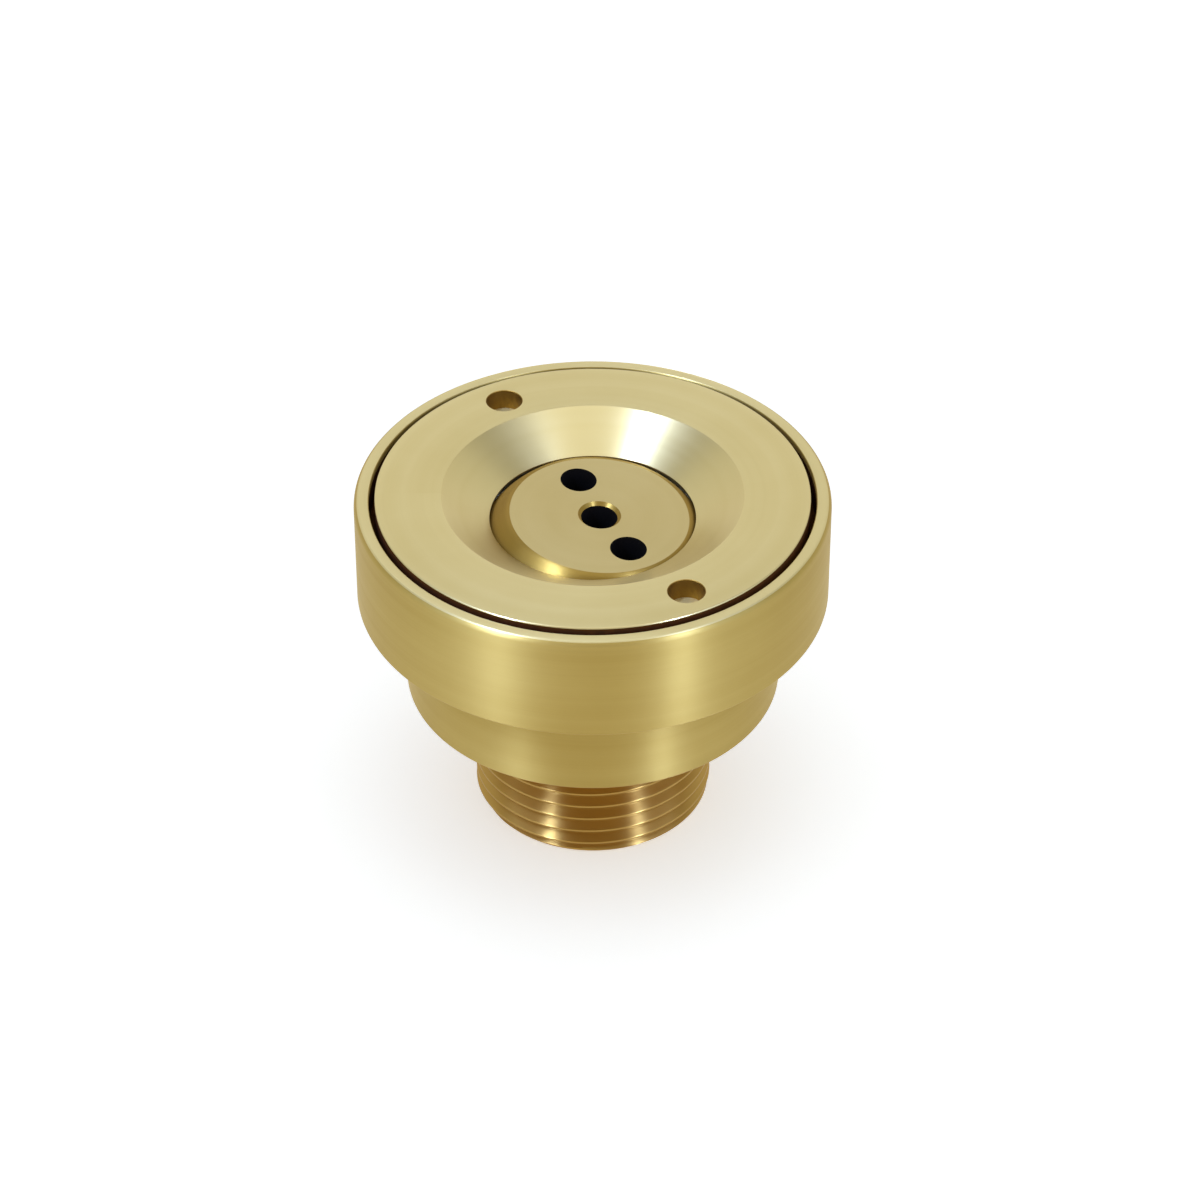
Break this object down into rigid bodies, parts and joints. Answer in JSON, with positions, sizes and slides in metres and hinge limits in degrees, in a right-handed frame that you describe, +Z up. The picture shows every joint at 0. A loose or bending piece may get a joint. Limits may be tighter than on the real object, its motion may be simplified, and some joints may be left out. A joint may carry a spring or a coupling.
{
  "type": "water pressure regulator outlet head",
  "caption": "Turned brass outlet head on a male pipe thread: a dished screwed ring holds a swivelling ported ball over a spring-loaded pressure regulator cartridge.",
  "frame": {"origin": "centre of the nipple's inlet end face, which the head stands on", "axes": "+Z up along the head's axis, from the inlet to the ported face; -Y is the side seen from the front"},
  "size_m": [0.065, 0.065, 0.051],
  "materials": {
    "brass_body": "fine turned, satin",
    "brass_ring": "fine turned, satin",
    "brass_ball": "fine turned, satin",
    "brass_inner": "machined",
    "ptfe": "turned fluoropolymer",
    "acetal": "moulded",
    "seal_rubber": "moulded nitrile",
    "stainless": "bright stainless"
  },
  "bodies": {
    "housing": {"body": "brass_body", "lower_ball_seat": "ptfe", "seat_carrier": "brass_inner", "seat_carrier_seal": "seal_rubber", "wave_spring": "stainless", "cartridge_sleeve": "acetal", "cartridge_seals": "seal_rubber", "regulator_spring": "stainless", "stem_seal": "seal_rubber", "gland_washer": "stainless", "valve_disc": "seal_rubber", "seat_spider": "brass_inner", "seat_screw": "stainless", "inlet_screen": "stainless", "inlet_circlip": "stainless"},
    "swivel_seat": {"upper_ball_seat": "ptfe"},
    "ball": {"swivel_ball": "brass_ball"},
    "ring_seal": {"retaining_ring_seal": "seal_rubber"},
    "ring": {"retaining_ring": "brass_ring"},
    "piston": {"regulator_piston": "brass_inner", "piston_seal": "seal_rubber"}
  },
  "joints": [
    {"name": "ball_turn", "type": "hinge", "parent": "housing", "child": "swivel_seat", "pos_m": [0, 0, 0.035], "axis": [0, 0, 1], "continuous": true},
    {"name": "ball_tilt", "type": "hinge", "parent": "swivel_seat", "child": "ball", "pos_m": [0, 0, 0.035], "axis": [0.5, 0.866, 0], "range_deg": [-14.8, 5.2]},
    {"name": "ring_lift", "type": "slide", "parent": "housing", "child": "ring_seal", "axis": [0, 0, 1], "range_m": [0, 0.00075]},
    {"name": "ring_unscrew", "type": "hinge", "parent": "ring_seal", "child": "ring", "pos_m": [0, 0, 0.051], "axis": [0, 0, 1], "range_deg": [0, 180]},
    {"name": "piston_close", "type": "slide", "parent": "housing", "child": "piston", "axis": [0, 0, -1], "range_m": [0, 0.0015], "stiffness_N_per_m": 12000, "springref_m": -0.007, "deforming": ["regulator_spring"]}
  ],
  "couplings": [
    {"joint": "ring_lift", "follows": "ring_unscrew", "m_per_rad": 0.00023873}
  ]
}
